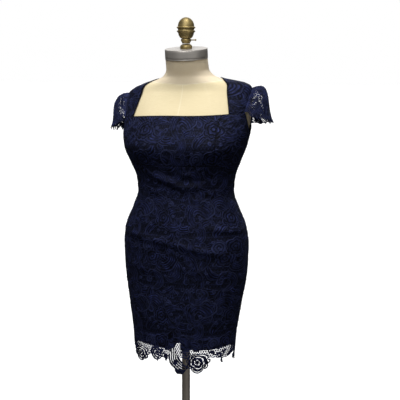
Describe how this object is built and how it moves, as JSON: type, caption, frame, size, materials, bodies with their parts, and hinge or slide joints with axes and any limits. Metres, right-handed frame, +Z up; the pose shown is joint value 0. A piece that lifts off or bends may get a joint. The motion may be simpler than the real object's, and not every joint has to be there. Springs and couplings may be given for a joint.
{
  "type": "lace cocktail dress on a limbless dress form with its stand",
  "caption": "Fitted knee-length dress of navy corded lace with a square neckline and cap sleeves, worn by a limbless dress form on a round-based stand of adjustable height.",
  "frame": {"origin": "centre of the round base's underside, on the floor, on the pole's axis", "axes": "+Z up along the pole; the dress faces -Y; +X is the wearer's left"},
  "size_m": [0.5052, 0.4, 1.5836],
  "materials": {
    "lace": "matte corded lace over an opaque lining",
    "lining": "plain dark lining",
    "zip_tape": "woven tape",
    "zip_metal": "dark enamel",
    "linen": "fine cream linen",
    "arm_plate": "tan cloth",
    "neck_cap": "brushed",
    "brass": "antique",
    "base": "satin black paint",
    "fitting": "satin black",
    "tube": "bronzed"
  },
  "bodies": {
    "stand": {"stand_base": "base", "stand_socket": "fitting", "stand_tube": "tube", "height_clamp": "fitting", "clamp_knob": "fitting"},
    "pole": {"stand_pole": "tube"},
    "form": {"form_boss": "fitting", "form_torso": "linen", "arm_plate_left": "arm_plate", "arm_plate_right": "arm_plate", "neck_cap": "neck_cap", "finial_foot": "brass", "finial_stem": "brass", "finial_bowl": "brass", "finial_dome": "brass", "finial_pin": "brass", "bodice_front": "lace", "bodice_side_front_left": "lace", "bodice_side_front_right": "lace", "bodice_back_left": "lace", "bodice_back_right": "lace", "shoulder_strap_left": "lace", "shoulder_strap_right": "lace", "cap_sleeve_left": "lace", "cap_sleeve_right": "lace", "skirt_front": "lace", "skirt_back_left": "lace", "skirt_back_right": "lace", "skirt_lining_front": "lining", "skirt_lining_back": "lining", "zip_tape": "zip_tape", "zip_slider": "zip_metal"},
    "zip_pull": {"zip_pull": "zip_metal"}
  },
  "joints": [
    {"name": "height_slide", "type": "slide", "parent": "stand", "child": "pole", "axis": [0, 0, 1], "range_m": [-0.14, 0.25]},
    {"name": "form_swivel", "type": "hinge", "parent": "pole", "child": "form", "pos_m": [0, 0, 0.78], "axis": [0, 0, 1], "continuous": true},
    {"name": "zip_pull_hinge", "type": "hinge", "parent": "form", "child": "zip_pull", "pos_m": [0, 0.11589, 1.35346], "axis": [1, 0, 0], "range_deg": [0, 165]}
  ]
}
